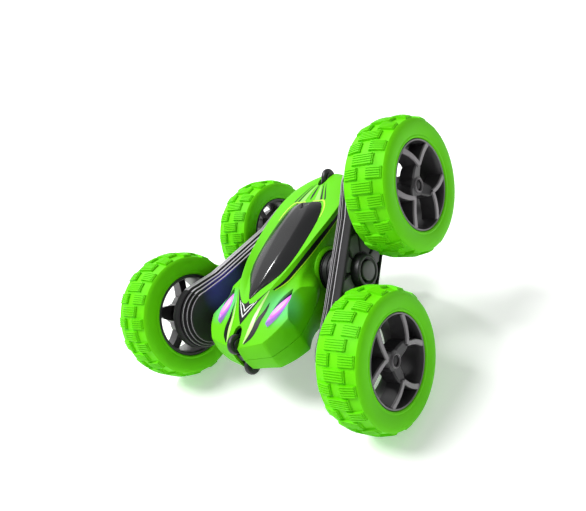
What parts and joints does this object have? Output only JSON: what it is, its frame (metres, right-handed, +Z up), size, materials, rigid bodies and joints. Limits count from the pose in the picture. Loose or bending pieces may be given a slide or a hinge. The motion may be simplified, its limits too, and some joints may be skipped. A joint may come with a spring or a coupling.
{
  "type": "rc stunt car",
  "caption": "Double-sided remote-control stunt car: a flat body between two arms that swing right round, each with two geared wheels.",
  "frame": {"origin": "on the floor, under the middle of the car's bounding box", "axes": "+Z up, +X towards the car's left wheels, -Y the way its nose points"},
  "size_m": [0.1706, 0.166, 0.1339],
  "materials": {
    "shell_green": "lime green moulded plastic, glossy",
    "tyre_green": "lime green soft rubber, satin",
    "canopy_black": "black, polished",
    "arm_grey": "dark grey moulded plastic, satin",
    "rim_black": "black moulded plastic with bright edges",
    "trim_black": "black moulded plastic",
    "gear_nylon": "off-white nylon",
    "steel": "bright zinc",
    "lens": "clear violet lens over a lamp",
    "board": "green circuit board",
    "battery": "blue shrink wrap",
    "motor": "metal can with plastic gearbox"
  },
  "bodies": {
    "chassis": {"battery": "battery", "body_screw_nose": "steel", "body_screw_tail_left": "steel", "body_screw_tail_right": "steel", "canopy_lower": "canopy_black", "canopy_upper": "canopy_black", "charge_socket": "trim_black", "circuit_board": "board", "gear_motor_left": "motor", "gear_motor_right": "motor", "headlight_lower_left": "lens", "headlight_lower_right": "lens", "headlight_upper_left": "lens", "headlight_upper_right": "lens", "light_board_left": "board", "light_board_right": "board", "lower_shell": "shell_green", "nose_bumper": "trim_black", "pivot_barrel_left": "trim_black", "pivot_barrel_right": "trim_black", "switch_body": "trim_black", "tail_bumper": "trim_black", "upper_shell": "shell_green"},
    "arm_left": {"idler_pin_front_left": "steel", "idler_pin_rear_left": "steel", "arm_outer_case_left": "arm_grey", "arm_inner_case_left": "arm_grey", "arm_hub_cap_left": "trim_black"},
    "arm_right": {"idler_pin_front_right": "steel", "idler_pin_rear_right": "steel", "arm_outer_case_right": "arm_grey", "arm_inner_case_right": "arm_grey", "arm_hub_cap_right": "trim_black"},
    "wheel_front_left": {"tyre_front_left": "tyre_green", "rim_front_left": "rim_black", "axle_gear_front_left": "gear_nylon", "wheel_screw_front_left": "steel"},
    "idler_front_left": {"idler_gear_front_left": "gear_nylon"},
    "wheel_rear_left": {"tyre_rear_left": "tyre_green", "rim_rear_left": "rim_black", "axle_gear_rear_left": "gear_nylon", "wheel_screw_rear_left": "steel"},
    "idler_rear_left": {"idler_gear_rear_left": "gear_nylon"},
    "drive_left": {"drive_gear_left": "gear_nylon"},
    "wheel_front_right": {"tyre_front_right": "tyre_green", "rim_front_right": "rim_black", "axle_gear_front_right": "gear_nylon", "wheel_screw_front_right": "steel"},
    "idler_front_right": {"idler_gear_front_right": "gear_nylon"},
    "wheel_rear_right": {"tyre_rear_right": "tyre_green", "rim_rear_right": "rim_black", "axle_gear_rear_right": "gear_nylon", "wheel_screw_rear_right": "steel"},
    "idler_rear_right": {"idler_gear_rear_right": "gear_nylon"},
    "drive_right": {"drive_gear_right": "gear_nylon"},
    "nose_roller_upper": {"nose_roller_upper": "trim_black"},
    "nose_roller_lower": {"nose_roller_lower": "trim_black"},
    "tail_roller_upper": {"tail_roller_upper": "trim_black"},
    "tail_roller_lower": {"tail_roller_lower": "trim_black"},
    "switch_knob": {"switch_knob": "trim_black"}
  },
  "joints": [
    {"name": "arm_left_swing", "type": "hinge", "parent": "chassis", "child": "arm_left", "pos_m": [-0.00353, 0, 0.05222], "axis": [0.9725, 0, 0.2328], "continuous": true},
    {"name": "arm_right_swing", "type": "hinge", "parent": "chassis", "child": "arm_right", "pos_m": [-0.00353, 0, 0.05222], "axis": [0.9725, 0, 0.2328], "continuous": true},
    {"name": "wheel_front_left_spin", "type": "hinge", "parent": "arm_left", "child": "wheel_front_left", "pos_m": [0.06519, -0.03409, 0.03746], "axis": [0.9725, 0, 0.2328], "continuous": true},
    {"name": "wheel_rear_left_spin", "type": "hinge", "parent": "arm_left", "child": "wheel_rear_left", "pos_m": [0.05106, 0.03409, 0.09649], "axis": [0.9725, 0, 0.2328], "continuous": true},
    {"name": "drive_left_spin", "type": "hinge", "parent": "arm_left", "child": "drive_left", "pos_m": [-0.00353, 0, 0.05222], "axis": [0.9725, 0, 0.2328], "continuous": true},
    {"name": "idler_front_left_spin", "type": "hinge", "parent": "arm_left", "child": "idler_front_left", "pos_m": [0, -0.01704, 0.03746], "axis": [0.9725, 0, 0.2328], "continuous": true},
    {"name": "idler_rear_left_spin", "type": "hinge", "parent": "arm_left", "child": "idler_rear_left", "pos_m": [-0.00706, 0.01704, 0.06697], "axis": [0.9725, 0, 0.2328], "continuous": true},
    {"name": "wheel_front_right_spin", "type": "hinge", "parent": "arm_right", "child": "wheel_front_right", "pos_m": [-0.06519, -0.04564, 0.03746], "axis": [0.9725, 0, 0.2328], "continuous": true},
    {"name": "wheel_rear_right_spin", "type": "hinge", "parent": "arm_right", "child": "wheel_rear_right", "pos_m": [-0.06519, 0.04564, 0.03746], "axis": [0.9725, 0, 0.2328], "continuous": true},
    {"name": "drive_right_spin", "type": "hinge", "parent": "arm_right", "child": "drive_right", "pos_m": [-0.00353, 0, 0.05222], "axis": [0.9725, 0, 0.2328], "continuous": true},
    {"name": "idler_front_right_spin", "type": "hinge", "parent": "arm_right", "child": "idler_front_right", "pos_m": [-0.00353, -0.02282, 0.05222], "axis": [0.9725, 0, 0.2328], "continuous": true},
    {"name": "idler_rear_right_spin", "type": "hinge", "parent": "arm_right", "child": "idler_rear_right", "pos_m": [-0.00353, 0.02282, 0.05222], "axis": [0.9725, 0, 0.2328], "continuous": true},
    {"name": "nose_roller_upper_spin", "type": "hinge", "parent": "chassis", "child": "nose_roller_upper", "pos_m": [-0.0027, -0.06297, 0.04873], "axis": [0.9725, 0, 0.2328], "continuous": true},
    {"name": "nose_roller_lower_spin", "type": "hinge", "parent": "chassis", "child": "nose_roller_lower", "pos_m": [0.00119, -0.05973, 0.0325], "axis": [0.9725, 0, 0.2328], "continuous": true},
    {"name": "tail_roller_upper_spin", "type": "hinge", "parent": "chassis", "child": "tail_roller_upper", "pos_m": [-0.0112, 0.05411, 0.08424], "axis": [0.9725, 0, 0.2328], "continuous": true},
    {"name": "tail_roller_lower_spin", "type": "hinge", "parent": "chassis", "child": "tail_roller_lower", "pos_m": [-0.00114, 0.06251, 0.04224], "axis": [0.9725, 0, 0.2328], "continuous": true},
    {"name": "switch_slide", "type": "slide", "parent": "chassis", "child": "switch_knob", "axis": [0.9725, 0, 0.2328], "range_m": [0, 0.0032]}
  ],
  "couplings": [
    {"joint": "wheel_rear_left_spin", "follows": "wheel_front_left_spin", "ratio": 1},
    {"joint": "drive_left_spin", "follows": "wheel_front_left_spin", "ratio": 1},
    {"joint": "idler_front_left_spin", "follows": "wheel_front_left_spin", "ratio": -1},
    {"joint": "idler_rear_left_spin", "follows": "wheel_front_left_spin", "ratio": -1},
    {"joint": "wheel_rear_right_spin", "follows": "wheel_front_right_spin", "ratio": 1},
    {"joint": "drive_right_spin", "follows": "wheel_front_right_spin", "ratio": 1},
    {"joint": "idler_front_right_spin", "follows": "wheel_front_right_spin", "ratio": -1},
    {"joint": "idler_rear_right_spin", "follows": "wheel_front_right_spin", "ratio": -1}
  ]
}
